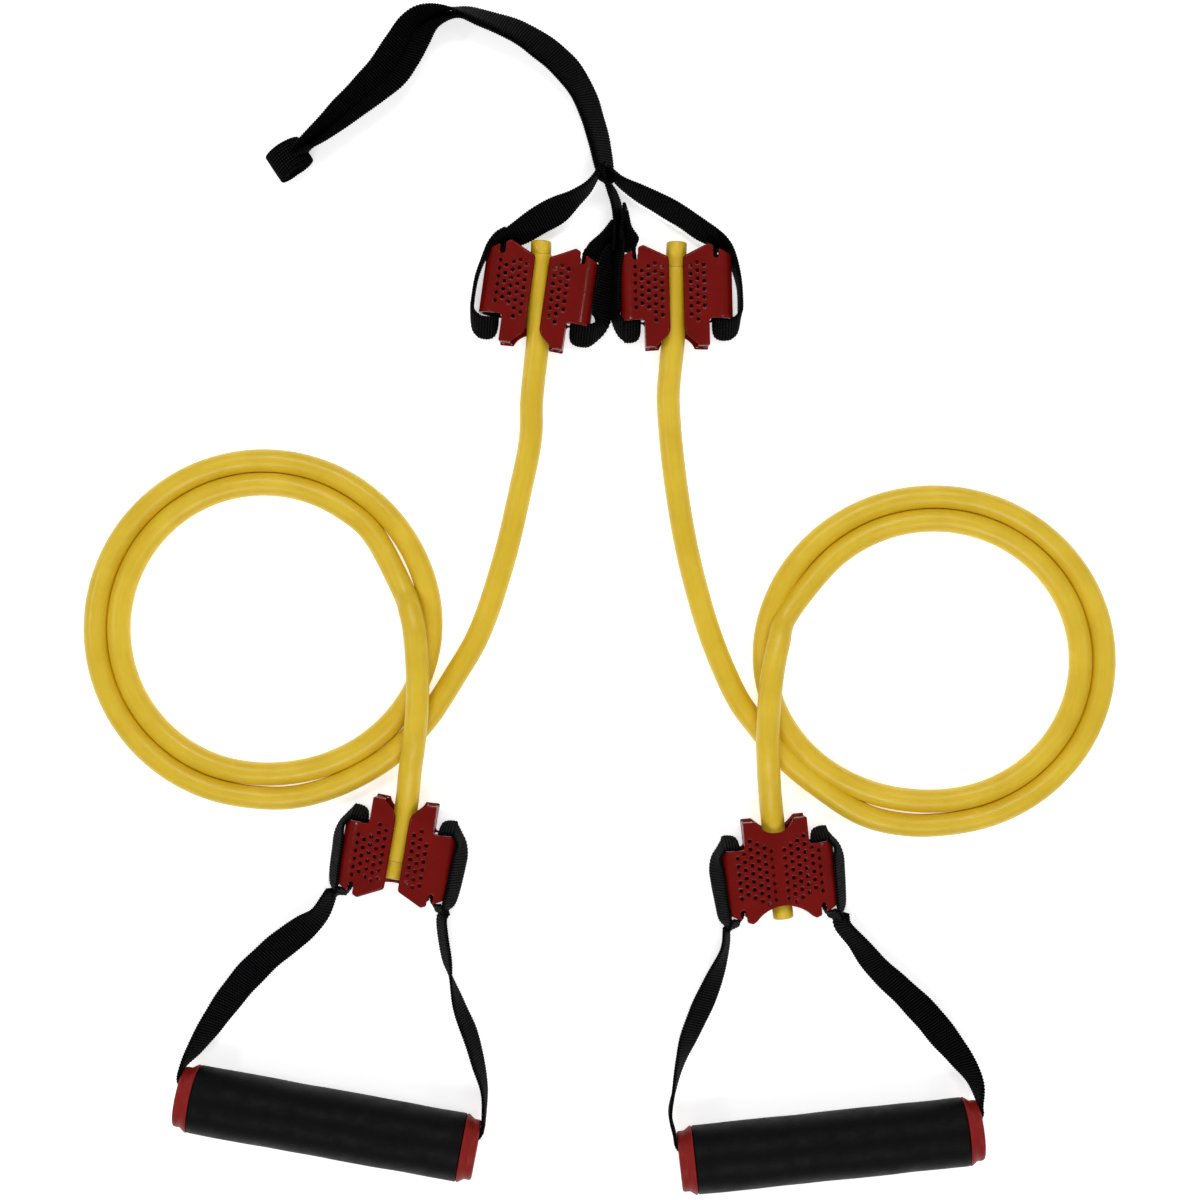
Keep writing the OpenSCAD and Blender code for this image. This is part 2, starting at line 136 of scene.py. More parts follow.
def even(path, step):
    """The same path with its points about step apart."""
    along = lengths(path)
    at = np.linspace(0, along[-1], max(2, int(round(along[-1] / step)) + 1))
    return np.column_stack([np.interp(at, along, path[:, k]) for k in range(path.shape[1])])


def unit(v):
    return v / np.maximum(np.linalg.norm(v, axis=-1, keepdims=True), 1e-12)


def frames(path):
    """Heading, level side and upward normal at each point."""
    heading = unit(np.gradient(path[:, :3], axis=0))
    side = unit(np.column_stack([-heading[:, 1], heading[:, 0], np.zeros(len(path))]))
    return heading, side, np.cross(heading, side)


def circle_points(sides, a, b):
    """A circle of radius 1 in the plane of the unit vectors a and b."""
    angle = np.linspace(0, 2 * math.pi, sides, endpoint=False)[:, None]
    return np.cos(angle) * a + np.sin(angle) * b


def volume(points, faces):
    """The volume that the faces enclose, below zero where they face inwards."""
    total = 0.0
    for size in (3, 4):
        f = np.array([x for x in faces if len(x) == size], int).reshape(-1, size)
        for k in range(1, size - 1):
            a, b, c = points[f[:, 0]], points[f[:, k]], points[f[:, k + 1]]
            total += float((a * np.cross(b, c)).sum()) / 6
    return total


def add_mesh(name, points, faces, material, uv=None):
    """A mesh object from points in millimetres. uv holds one pair for each point of each face."""
    points = np.asarray(points, float)
    if volume(points, faces) < 0:
        faces = [f[::-1] for f in faces]
        if uv is not None:
            uv = [f[::-1] for f in uv]
    mesh = bpy.data.meshes.new(name)
    mesh.from_pydata((points * MM).tolist(), [], faces)
    if uv is not None:
        layer = mesh.uv_layers.new(name="UVMap")
        layer.data.foreach_set("uv", np.array([c for f in uv for c in f], np.float32).ravel())
    mesh.polygons.foreach_set("use_smooth", [True] * len(mesh.polygons))
    mesh.materials.append(material)
    obj = bpy.data.objects.new(name, mesh)
    bpy.context.scene.collection.objects.link(obj)
    return obj


def band(a, b, n, way=1):
    """Faces between two closed rings of n points, from a and from b. Way -1 turns them over."""
    return [(a + k, a + (k + 1) % n, b + (k + 1) % n, b + k)[::way] for k in range(n)]


def band_uv(across, low, high):
    return [((a, low), (b, low), (b, high), (a, high)) for a, b in zip(across, across[1:])]


def loft(rings, across, along, capped=True):
    """Points, faces and uv of a skin over closed rings. across and along are in millimetres."""
    n, m = rings.shape[:2]
    points = rings.reshape(-1, 3)
    faces, uv = [], []
    for i in range(n - 1):
        faces += band(i * m, (i + 1) * m, m)
        uv += band_uv(across, along[i], along[i + 1])
    if capped:
        for start, turn in ((0, -1), ((n - 1) * m, 1)):
            middle = len(points)
            points = np.vstack([points, points[start:start + m].mean(axis=0)])
            for k in range(m):
                faces.append((start + k, start + (k + 1) % m, middle)[::turn])
                uv.append(((across[k], 0), (across[k + 1], 0), (across[k], 1)))
    return points, faces, uv


def to_world(place, points, side=1):
    """Points in a clamp's frame, where side -1 mirrors u, as points in the row frame."""
    x, y, turn, back_up = place
    u = points[:, 0] * side
    v = points[:, 1] - CLAMP_LEN / 2
    z = points[:, 2]
    if back_up:
        u, z = -u, CLAMP_D - z
    c, s = cos_sin(turn)
    return np.column_stack([x + u * c - v * s, y + u * s + v * c, z])


def from_clamp(place, u, v):
    """Where a clamp's point u, v lies on the floor plan."""
    return to_world(place, np.array([[u, v, 0.0]]))[0, :2]


# ---- materials ----


class Material:
    """A node material with a few shorthands."""

    def __init__(self, name, color, roughness, specular=0.5):
        self.data = bpy.data.materials.new(name)
        self.data.use_nodes = True
        self.tree = self.data.node_tree
        self.shader = self.tree.nodes["Principled BSDF"]
        self.set("Base Color", (*color, 1))
        self.set("Roughness", roughness)
        self.set("Specular IOR Level", specular)

    def set(self, socket, value):
        self.shader.inputs[socket].default_value = value

    def node(self, kind, **inputs):
        made = self.tree.nodes.new(kind)
        for key, value in inputs.items():
            made.inputs[key.replace("_", " ")].default_value = value
        return made

    def link(self, a, b):
        self.tree.links.new(a, b)

    def feed(self, socket, output):
        self.link(output, self.shader.inputs[socket])

    def coordinates(self, kind, scale=(1, 1, 1)):
        source = self.tree.nodes.new("ShaderNodeTexCoord")
        mapping = self.tree.nodes.new("ShaderNodeMapping")
        mapping.inputs["Scale"].default_value = scale
        self.link(source.outputs[kind], mapping.inputs["Vector"])
        return mapping.outputs["Vector"]

    def noise(self, where, scale, detail=3.0, roughness=0.5):
        made = self.node("ShaderNodeTexNoise", Scale=scale, Detail=detail, Roughness=roughness)
        self.link(where, made.inputs["Vector"])
        return made.outputs["Fac"]

    def ramp(self, fac, low, high, dark, light):
        """Spreads fac between low and high over the two values or colours."""
        made = self.tree.nodes.new("ShaderNodeValToRGB")
        for stop, at, value in zip(made.color_ramp.elements, (low, high), (dark, light)):
            stop.position = at
            stop.color = (*value, 1) if isinstance(value, tuple) else (value, value, value, 1)
        self.link(fac, made.inputs["Fac"])
        return made.outputs["Color"]

    def shades(self, fac, low, high, dark, light):
        """Colours the surface between two shades, as fac goes from low to high."""
        color = self.mix(self.ramp(fac, low, high, 0.0, 1.0), (*dark, 1), (*light, 1))
        self.feed("Base Color", color)
        return color

    def mix(self, fac, a, b):
        made = self.tree.nodes.new("ShaderNodeMix")
        made.data_type = "RGBA"
        sockets = made.inputs["Factor"], made.inputs[6], made.inputs[7]
        for socket, value in zip(sockets, (fac, a, b)):
            if isinstance(value, bpy.types.NodeSocket):
                self.link(value, socket)
            else:
                socket.default_value = value
        return made.outputs[2]

    def bump(self, height, distance, strength=1.0, after=None):
        """Bump of so many millimetres."""
        made = self.node("ShaderNodeBump", Strength=strength, Distance=distance * MM)
        self.link(height, made.inputs["Height"])
        if after is not None:
            self.link(after, made.inputs["Normal"])
        return made.outputs["Normal"]


def latex_material():
    m = Material("latex", (0.76, 0.515, 0.023), 0.36, 0.4)
    where = m.coordinates("Object")
    along = m.coordinates("UV", (0.5, 0.02, 1))
    cloud = m.noise(where, 55, 3)
    streak = m.noise(along, 3.0, 4)
    color = m.shades(cloud, 0.35, 0.65, (0.72, 0.482, 0.018), (0.79, 0.548, 0.030))
    color = m.mix(m.ramp(streak, 0.45, 0.7, 0.0, 0.25), color, (0.60, 0.385, 0.012, 1))
    m.feed("Base Color", color)
    m.feed("Roughness", m.ramp(m.noise(where, 180, 4), 0.3, 0.7, 0.30, 0.44))
    m.set("Subsurface Weight", 0.12)
    m.set("Subsurface Radius", (1.0, 0.55, 0.08))
    m.set("Subsurface Scale", 0.003)
    fine = m.bump(m.noise(where, 2600, 2), 0.02)
    m.feed("Normal", m.bump(streak, 0.05, 0.6, fine))
    return m.data


def plug_material():
    m = Material("latex_plug", (0.74, 0.50, 0.02), 0.30, 0.5)
    where = m.coordinates("Object")
    m.shades(m.noise(where, 160, 3), 0.35, 0.65, (0.70, 0.455, 0.016), (0.78, 0.535, 0.026))
    m.feed("Roughness", m.ramp(m.noise(where, 900, 3), 0.3, 0.7, 0.24, 0.38))
    m.feed("Normal", m.bump(m.noise(where, 1500, 2), 0.03))
    return m.data


def clamp_material():
    m = Material("clamp_plastic", (0.165, 0.0042, 0.0028), 0.2, 0.16)
    where = m.coordinates("Object")
    m.shades(m.noise(where, 70, 4), 0.3, 0.7, (0.146, 0.0034, 0.0022), (0.186, 0.0050, 0.0034))
    scuffs = m.noise(where, 420, 4, 0.55)
    m.feed("Roughness", m.ramp(scuffs, 0.35, 0.75, 0.14, 0.24))
    wave = m.bump(m.noise(where, 120, 2), 0.05)
    m.feed("Normal", m.bump(m.noise(where, 1800, 2), 0.004, 1.0, wave))
    return m.data


def cap_material():
    m = Material("cap_plastic", (0.19, 0.0060, 0.0045), 0.28, 0.18)
    turned = m.noise(m.coordinates("UV", (0.015, 1.6, 1)), 3.0, 5, 0.65)
    m.shades(turned, 0.35, 0.65, (0.205, 0.0070, 0.0052), (0.265, 0.0110, 0.0082))
    m.feed("Roughness", m.ramp(turned, 0.3, 0.7, 0.42, 0.58))
    m.feed("Normal", m.bump(turned, 0.05))
    return m.data


def webbing_material():
    m = Material("webbing", (0.0016, 0.0016, 0.0018), 0.6, 0.03)
    threads = m.coordinates("UV", (1, 1, 1))
    waves = []
    for direction, scale in (("Y", 0.251), ("X", 0.30)):
        wave = m.node("ShaderNodeTexWave", Scale=scale, Distortion=0.9, Detail=2.0)
        wave.bands_direction = direction
        m.link(threads, wave.inputs["Vector"])
        waves.append(wave.outputs["Fac"])
    product = m.node("ShaderNodeMath")
    product.operation = "MULTIPLY"
    for wave, socket in zip(waves, product.inputs):
        m.link(wave, socket)
    weave_and_glints = product.outputs[0]
    # painted glints: the weave's thread crossings are coloured much paler than the black webbing,
    # standing in for the light they catch
    m.shades(weave_and_glints, 0.25, 0.85, (0.0002, 0.0002, 0.0003), (0.0210, 0.0210, 0.0235))
    m.feed("Roughness", m.ramp(weave_and_glints, 0.1, 0.8, 0.80, 0.45))
    fuzz = m.bump(m.noise(threads, 2.4, 3), 0.12)
    m.feed("Normal", m.bump(weave_and_glints, 0.45, 1.0, fuzz))
    return m.data


def foam_material():
    m = Material("grip_foam", (0.0015, 0.0015, 0.0018), 0.5, 0.09)
    where = m.coordinates("Object")
    mottle = m.noise(where, 140, 5, 0.6)
    m.shades(mottle, 0.35, 0.7, (0.0010, 0.0010, 0.0013), (0.0024, 0.0024, 0.0032))
    m.feed("Roughness", m.ramp(mottle, 0.3, 0.75, 0.60, 0.42))
    cells = m.node("ShaderNodeTexVoronoi", Scale=1500.0)
    m.link(where, cells.inputs["Vector"])
    pores = m.bump(cells.outputs["Distance"], 0.05, 0.7)
    m.feed("Normal", m.bump(mottle, 0.12, 0.8, pores))
    return m.data


def core_material():
    m = Material("core_plastic", (0.02, 0.02, 0.022), 0.5, 0.3)
    where = m.coordinates("Object")
    m.feed("Roughness", m.ramp(m.noise(where, 300, 3), 0.3, 0.7, 0.38, 0.55))
    m.feed("Normal", m.bump(m.noise(where, 900, 2), 0.03))
    return m.data


LATEX = latex_material()
PLUG = plug_material()
RED = clamp_material()
CAP = cap_material()
WEBBING = webbing_material()
FOAM = foam_material()
CORE = core_material()

# ---- latex tubes, one cord each, from an anchor clamp to a handle clamp ----

# Routes in metres, as in the CAD source
LEFT_LEAD = [
    (-0.0176, 0.1596, 0.00925), (-0.0184, 0.140, 0.00925), (-0.0188, 0.122, 0.0092),
    (-0.0205, 0.107, 0.0066), (-0.022, 0.092, 0.0056), (-0.0226, 0.074, 0.0055),
    (-0.0273, 0.0505, 0.0055), (-0.035, 0.018, 0.0055), (-0.046, -0.015, 0.0055),
    (-0.059, -0.038, 0.0055), (-0.070, -0.055, 0.0055), (-0.080, -0.066, 0.0055),
    (-0.093, -0.077, 0.0055),
]
LEFT_TAIL = [
    (-0.082, 0.004, 0.008), (-0.078, -0.006, 0.014), (-0.0755, -0.018, 0.0172),
    (-0.0743, -0.036, 0.0174), (-0.0745, -0.050, 0.0174), (-0.0753, -0.060, 0.0174),
    (-0.0765, -0.070, 0.016), (-0.0785, -0.082, 0.0115), (-0.080, -0.095, 0.0093),
    (-0.0824, -0.108, 0.00925), (-0.0852, -0.1215, 0.00925),
]
RIGHT_LEAD = [
    (0.0454, 0.1535, 0.00925), (0.0449, 0.138, 0.00925), (0.0442, 0.121, 0.0092),
    (0.043, 0.108, 0.0066), (0.042, 0.093, 0.0056), (0.0437, 0.069, 0.0055),
    (0.0474, 0.041, 0.0055), (0.053, 0.013, 0.0055), (0.062, -0.018, 0.0055),
    (0.0735, -0.045, 0.0055), (0.084, -0.060, 0.0055), (0.097, -0.075, 0.0055),
    (0.110, -0.086, 0.0055),
]
RIGHT_TAIL = [
    (0.097, -0.008, 0.008), (0.093, -0.020, 0.014), (0.090, -0.034, 0.0172),
    (0.0882, -0.050, 0.0174), (0.0876, -0.066, 0.0174), (0.088, -0.077, 0.016),
    (0.089, -0.089, 0.0115), (0.0902, -0.100, 0.0093), (0.0924, -0.122, 0.00925),
    (0.0946, -0.1405, 0.00925),
]
# Coil: middle, half widths of the outer turn, and the way it runs: 1 clockwise, -1 the other way
COILS = {"left": ((-147.5, -14.2), (78.7, 78.7), 1), "right": ((166.3, -29.0), (79.7, 76.6), -1)}
TURN_STEP = 15  # degrees between a coil's points
FIRST_TURN, LAST_TURN = 65, 688  # degrees from the side where the tube comes in
INWARD_FROM, INWARD_TO = 350, 455  # the tube passes from the outer to the inner turn here
TURN_GAP = 10.9
JOIN_OUT, JOIN_OVER = 2.2, 35  # the first turn starts this far out, and comes in over these degrees
TUBE_STEP = 2.0
TUBE_SIDES = 28
PLUG_SIDES = 32


def ease(x):
    x = min(1.0, max(0.0, x))
    return x * x * (3 - 2 * x)


def coil_turns(middle, half_widths, way):
    """Two turns side by side on the floor, worked out by angle."""
    points = []
    for k in range(1 + (LAST_TURN - FIRST_TURN) // TURN_STEP):
        turned = FIRST_TURN + k * TURN_STEP
        inward = TURN_GAP * ease((turned - INWARD_FROM) / (INWARD_TO - INWARD_FROM))
        joining = JOIN_OUT * (1 - ease((turned - FIRST_TURN) / JOIN_OVER))
        a = math.radians(turned)
        points.append((
            middle[0] + way * (half_widths[0] - inward + joining) * math.cos(a),
            middle[1] - (half_widths[1] - inward + joining) * math.sin(a),
            FLOOR_Z,
        ))
    return points


def tube_piece(name, path):
    """The tube's skin along its path, with softly rounded ends."""
    heading, side, up = frames(path)
    circle = circle_points(TUBE_SIDES, side[:, None, :], up[:, None, :])
    rings = path[:, None, :] + circle * (TUBE_D / 2)
    # how far each rounded ring lies beyond the end, and how much smaller its radius is
    rounding = ((0.35, 0.1), (0.55, 0.4))
    first, last = (
        [path[at] + way * reach * heading[at] + circle[at] * (TUBE_D / 2 - less)
         for reach, less in rounding]
        for at, way in ((0, -1), (-1, 1))
    )
    rings = np.concatenate([np.array(first[::-1]), rings, np.array(last)])
    around = np.linspace(0, math.pi * TUBE_D, TUBE_SIDES + 1)
    points, faces, uv = loft(rings, around, lengths(rings.mean(axis=1)))
    return add_mesh(name, points, faces, LATEX, uv)


def plug_piece(name, base, direction, length):
    """A tube's plug: a stepped round head, hollowed a little at its end."""
    r = PLUG_D / 2
    # distance along the plug and radius
    line = [(-1.5, r - 0.5), (-0.2, r - 0.5), (0.0, r - 0.15), (0.15, r), (length - 0.9, r),
            (length - 0.45, r - 0.12), (length - 0.1, r - 0.5), (length, r - 1.0),
            (length - 0.05, r - 1.5), (length - 0.45, r - 1.9), (length - 0.6, r - 2.4)]
    heading = unit(np.array(direction, float))
    side = unit(np.array([-heading[1], heading[0], 0.0]))
    circle = circle_points(PLUG_SIDES, side, np.cross(heading, side))
    rings = np.array([np.array(base) + heading * a + circle * b for a, b in line])
    around = np.linspace(0, math.pi * PLUG_D, PLUG_SIDES + 1)
    points, faces, uv = loft(rings, around, [a for a, b in line])
    return add_mesh(name, points, faces, PLUG, uv)


def tube(side, lead, tail, plug_lengths):
    """A tube with its two plugs."""
    lead, tail = np.array(lead) / MM, np.array(tail) / MM
    stations = np.vstack([lead, coil_turns(*COILS[side]), tail])
    path = even(smooth(stations, 12), TUBE_STEP)
    piece = tube_piece(f"{side}_tube", path)
    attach(piece, "root")
    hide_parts(f"{side}_tube_lead", f"{side}_tube_coil", f"{side}_tube_tail")
    ends = ("anchor", 0, 1), ("handle", -1, -2)
    for (end, at, before), length in zip(ends, plug_lengths):
        plug = plug_piece(f"{side}_{end}_plug", path[at], path[at] - path[before], length)
        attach(plug, "root")
        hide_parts(f"{side}_tube_{end}_plug")


tube("left", LEFT_LEAD, LEFT_TAIL, (7.0, 9.0))
tube("right", RIGHT_LEAD, RIGHT_TAIL, (12.6, 8.7))

# ---- webbing ----

RIB_PITCH = 1.25
RIB_STEPS = 4
RIB_HEIGHT = 0.24
SERRATION = 0.38
EDGE_SWAY, EDGE_WAVE = 0.12, 2.7  # how far the edges wander, and how slowly
# Half the outline of the strap's section, as shares of its half width and half thickness
HALF_SECTION = [(-1.0, 0.35), (-0.93, 0.92), (-0.6, 1.0), (-0.2, 0.97),
                (0.2, 0.97), (0.6, 1.0), (0.93, 0.92), (1.0, 0.35)]
WEB_SECTION = np.array(HALF_SECTION + [(a, -b) for a, b in HALF_SECTION[::-1]])


def webbing(name, stations, lift=0.0, place=None, side=1):
    """Ribbed webbing along stations of x, y, z and roll, and at some width and tilt too.

    Roll is told from the heading, as in the CAD source. Tilt leans the upper edge towards +Y. With
    a place, the stations are in that clamp's frame. Side -1 mirrors them.
    """
    stations = [p if len(p) > 4 else (*p, WEB_W, 0) for p in stations]
    path = even(smooth(stations, 10), RIB_PITCH / RIB_STEPS)
    heading, level, _ = frames(path)
    roll = np.radians(path[:, 3])[:, None]
    tilt = np.tan(np.radians(path[:, 5]))[:, None]
    across = unit(np.cos(roll) * level + np.sin(roll) * UP + tilt * np.array([0, 1.0, 0]))
    out = unit(np.cross(heading, across))
    along = lengths(path)
    phase = 2 * math.pi * along / RIB_PITCH
    rib = RIB_HEIGHT * (0.5 + 0.5 * np.cos(phase))
    edge = SERRATION * (0.5 + 0.5 * np.cos(phase)) + EDGE_SWAY * np.sin(along / EDGE_WAVE)
    half_w = path[:, 4] / 2 - SERRATION + edge
    half_t = WEB_T / 2 - RIB_HEIGHT + rib
    a = half_w[:, None] * WEB_SECTION[None, :, 0]
    o = half_t[:, None] * WEB_SECTION[None, :, 1] + lift
    rings = path[:, None, :3] + a[..., None] * across[:, None, :] + o[..., None] * out[:, None, :]
    outline = np.vstack([WEB_SECTION, WEB_SECTION[:1]]) * [WEB_W / 2, WEB_T / 2]
    perimeter = np.linalg.norm(np.diff(outline, axis=0), axis=1)
    perimeter = np.concatenate([[0], np.cumsum(perimeter)])
    points, faces, uv = loft(rings, perimeter, along)
    if place is not None:
        points = to_world(place, points, side)
    piece = add_mesh(name, points, faces, WEBBING, uv)
    return piece


# Loops round the wings, in the clamp's frame: u, v, z and roll
LOW_Z = 9.0
SLOT_WEB_W = 14.6  # the webbing's width where it passes through the slot


def around_wing(entry, out_u, roll, low_v, tilt, leave, corner=2.4):
    """A loop from the throat down the outside, under the shoulder, up inside and out of the slot.

    A roll over 90 leans the upper edge towards the wing, and the tilt lays the turn under the
    shoulder back. Corner is how far above the turn the outside starts to come in. An entry is u,
    v and roll, and leave holds whole stations.
    """
    return [(u, v, MID_Z, r) for u, v, r in entry] + [
        (out_u, 28, MID_Z, roll), (out_u + 0.2, low_v + corner + 8, MID_Z, roll),
        (out_u - 0.3, low_v + corner + 3.6, 9.2, roll * 0.6 + 36, WEB_W, tilt * 0.45),
        (out_u - 1.7, low_v + corner, LOW_Z, 91, WEB_W, tilt * 0.85),
        (out_u - 4.2, low_v + corner * 0.2, LOW_Z, 90, WEB_W, tilt),
        (24.0, low_v, LOW_Z, 90, WEB_W, tilt), (20.8, low_v + 0.1, LOW_Z, 90, WEB_W, tilt),
        (18.3, low_v + 1.3, LOW_Z, 90, WEB_W, tilt * 0.9),
        (17.5, low_v + 4.6, LOW_Z, 90, WEB_W, tilt * 0.7),
        (18.1, low_v + 9.5, MID_Z, 90, SLOT_WEB_W, tilt * 0.25),
    ] + [(SLOT_U, v, MID_Z, 90, SLOT_WEB_W, 0) for v in (low_v + 15, 32, 41.5)] + leave


LOOPS = {
    ("left_anchor", "a"): around_wing(
        [(17.5, 50.4, 66), (21.5, 47.9, 72), (25.3, 43.6, 84), (27.8, 37, 92)],
        29.6, 93, 6.2, 38, [(17.8, 45.0, 9.4, 90), (15.6, 48.6, 9.4, 84)]),
    ("left_anchor", "b"): around_wing(
        [(31.2, 51.5, 104), (30.2, 45, 122), (30.4, 37, 126)],
        30.5, 128, 8.8, 40,
        [(19.4, 45.4, 9.4, 84), (22.4, 47.4, 9.4, 60), (26.2, 50.6, 9.3, 50),
         (29.2, 56.0, 9.3, 62), (31.2, 62.5, 9.25, 76)]),
    ("right_anchor", "a"): around_wing(
        [(24.8, 54, 96), (26.2, 46.5, 112), (27.8, 38, 108)], 28.3, 106, 8.2, 36,
        [(19.2, 45.4, 9.4, 88), (20.8, 49.6, 9.4, 56), (22.3, 56.0, 9.3, 74),
         (22.4, 63.6, 9.3, 86)]),
    ("right_anchor", "b"): around_wing(
        [(17.5, 51.0, 62), (21.6, 48.3, 68), (25.6, 43.4, 78), (28.0, 37, 84)],
        29.7, 88, 8.0, 34, [(17.8, 45.2, 9.4, 90), (15.6, 49.0, 9.4, 84)]),
    ("left_handle", "a"): around_wing(
        [(25.8, 49.0, 88), (27.0, 45.0, 108), (28.0, 38, 112)], 28.5, 113, 9.4, 18,
        [(20.2, 45.4, 9.4, 96), (22.8, 47.2, 9.4, 112), (26.4, 49.6, 9.3, 100)], 4.2),
    ("left_handle", "b"): around_wing(
        [(26.2, 48.4, 88), (27.1, 44.8, 108), (28.0, 38, 112)], 28.4, 112, 9.0, 18,
        [(20.4, 45.2, 9.4, 96), (23.0, 46.8, 9.4, 112), (25.8, 49.2, 9.3, 92)], 4.2),
    ("right_handle", "a"): around_wing(
        [(26.2, 49.6, 92), (27.1, 45.2, 72), (27.8, 38, 68)], 28.4, 66, 9.4, -18,
        [(20.2, 45.4, 9.2, 84), (22.6, 47.2, 9.2, 68), (26.2, 50.4, 9.2, 84)], 4.2),
    ("right_handle", "b"): around_wing(
        [(26.8, 49.4, 88), (27.3, 45.0, 72), (27.8, 38, 68)], 28.2, 67, 9.4, -18,
        [(20.4, 45.4, 9.2, 84), (23.2, 47.2, 9.2, 68), (26.4, 50.0, 9.2, 78)], 4.2),
}


def loops():
    for (clamp, jaw), stations in LOOPS.items():
        side = 1 if jaw == "b" else -1
        place = CLAMPS[clamp]
        piece = webbing(f"{clamp}_webbing_{jaw}", stations, place=place, side=side)
        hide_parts(f"{clamp}_loop_{jaw}")
        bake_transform(piece)


loops()

# Handle straps, from one throat to the other through the grip: x, y, z and roll
LEFT_LEG_A = [
    (-120.4, -146.6, 9.25, 124), (-127.5, -153.0, 9.2, 146), (-133.8, -157.9, 9, 158),
    (-143.5, -165.6, 8.8, 156), (-153.6, -175.4, 9, 156), (-161.1, -184.4, 9.2, 148),
    (-167.6, -193.4, 10, 140), (-173.2, -201.8, 11.5, 128), (-178.8, -210.4, 13.5, 112),
]
LEFT_LEG_B = [
    (-63.8, -150.5, 9.25, 70), (-61.5, -168, 9.2, 70), (-59.1, -178.6, 9.2, 88),
    (-55.3, -191.2, 9.3, 106), (-50.3, -203.6, 10.2, 111), (-46.6, -216, 12, 106),
    (-43.6, -228.6, 14, 95),
]
RIGHT_LEG_A = [
    (68.2, -163.5, 9.25, 108), (62.0, -180.2, 9.2, 132), (56.6, -192.6, 9.3, 136),
    (51.4, -204.6, 10.2, 127), (47.2, -216.7, 12, 108), (44.4, -228.6, 14, 96),
    (42.6, -239, 15.2, 90),
]
RIGHT_LEG_B = [
    (123.4, -152.6, 9.25, 62), (130.5, -161.0, 9, 54), (139.4, -172.2, 8.6, 40),
    (153.9, -185.8, 8.8, 30), (163.5, -195.8, 9.2, 22), (171.2, -205.4, 10.4, 28),
    (178.1, -214.2, 12, 44), (184.0, -224.0, 13.8, 66),
]
# The strap's turn at a cap: distance out from the cap's face, and away from the grip's axis
CAP_TURN = [(-58, 0), (-46, 0), (-34, 0), (-23, 0), (-14, 0.1), (-8.5, 0.9), (-4.4, 2.9),
            (-1.0, 6.0), (0.8, 9.0), (0.95, 12.6)]


def by_cap(grip, end, out, height):
    """A point by a grip's end: out from the cap's face, and height away from the grip's axis."""
    x, y, turn = grip
    c, s = cos_sin(turn)
    reach = end * (GRIP_LEN / 2 + out)
    return x + reach * c - height * s, y + reach * s + height * c


def handle_strap(side, leg_a, leg_b, throats, folds):
    """A strap through a grip. Throats are u, v and roll by each jaw. Folds, the fold's ends, is not
    used.
    """
    grip = GRIPS[side]
    turn_a, turn_b = ([(*by_cap(grip, end, *p), GRIP_Z, 90) for p in CAP_TURN] for end in (-1, 1))
    clamp = CLAMPS[f"{side}_handle"]
    (u_a, v_a, roll_a), (u_b, v_b, roll_b) = throats
    first = [(*from_clamp(clamp, u_a, v_a), MID_Z, roll_a)]
    last = [(*from_clamp(clamp, u_b, v_b), MID_Z, 180 - roll_b)]
    # roll is told from the heading, so it is mirrored on the way back
    back = [(x, y, z, 180 - roll) for x, y, z, roll in leg_b][::-1]
    stations = first + leg_a + turn_a[::-1] + turn_b + back + last
    piece = webbing(f"{side}_handle_strap", stations)
    nodes = ("tail_a", "tail_b", "leg_a", "leg_b", "core_strap")
    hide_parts(*(f"{side}_handle_{n}" for n in nodes))
    a, b = (np.array([*p, MID_Z]) for p in folds)
    middle, line = (a + b) / 2, unit(b - a)
    away = np.array([line[1], -line[0], 0])
    if away[1] > 0:
        away = -away
    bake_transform(piece)


handle_strap("left", LEFT_LEG_A, LEFT_LEG_B, ((27.6, 46.5, 104), (-27.2, 47.5, 80)),
             ((-121.5, -147.5), (-62.5, -159)))
handle_strap("right", RIGHT_LEG_A, RIGHT_LEG_B, ((-27.0, 48.0, 102), (27.2, 47.0, 70)),
             ((65.5, -171.5), (126.5, -158.5)))

# Straps that gather at the anchor's junction: x, y, z and roll
BRANCHES = {
    "left": [
        (-42.2, 158.2, 9.25, 86), (-38.4, 163.6, 9.3, 74), (-33, 167.4, 9.3, 60),
        (-26, 171.4, 9.25, 48), (-18, 176.6, 9.25, 36), (-9, 181.6, 9.25, 42),
        (-1.5, 186.8, 9.25, 68), (5.0, 192.4, 9.25, 82), (10.0, 200, 9.25, 90),
    ],
    "mid_left": [
        (16.2, 161.6, 9.25, 90), (17.2, 168, 9.25, 84), (18.2, 176, 9.25, 76),
        (17.8, 183, 9.25, 72), (15.8, 189.5, 9.25, 72), (13.2, 195.5, 9.25, 80),
        (12.0, 202, 9.25, 90),
    ],
    "mid_right": [
        (20.4, 165.5, 9.25, 86), (21.0, 172, 9.25, 80), (21.6, 178, 9.25, 82),
        (21.7, 183.4, 9.25, 86),
    ],
    "right": [
        (72.6, 157.4, 9.25, 94), (69.0, 163.4, 9.3, 104), (63.6, 168.0, 9.3, 114),
        (57, 172.0, 9.25, 120), (48, 178.2, 9.25, 121), (38, 184.0, 9.25, 119),
        (28, 189.3, 9.25, 110), (19.6, 194.4, 9.25, 98), (13.6, 200.6, 9.25, 90),
    ],
}


def branches():
    for name, stations in BRANCHES.items():
        piece = webbing(f"anchor_webbing_{name}", stations)
        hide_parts(f"anchor_branch_{name}")
        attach(piece, "root")


branches()

# The door strap: two layers from the junction to the stopper
ANCHOR_ROUTE = [
    (12.9, 194.5, 9.25, 74), (11.5, 203.5, 9.25, 60), (9.2, 215, 9.2, 54),
    (6.1, 225.5, 9, 50), (2.8, 234.5, 8.6, 45), (-2.2, 243, 8.2, 36),
    (-8.2, 250.2, 8, 30), (-16.8, 257.4, 8, 32), (-29, 265, 8.4, 42),
    (-45, 270.9, 8.8, 55), (-54, 273.6, 8.8, 64),
]
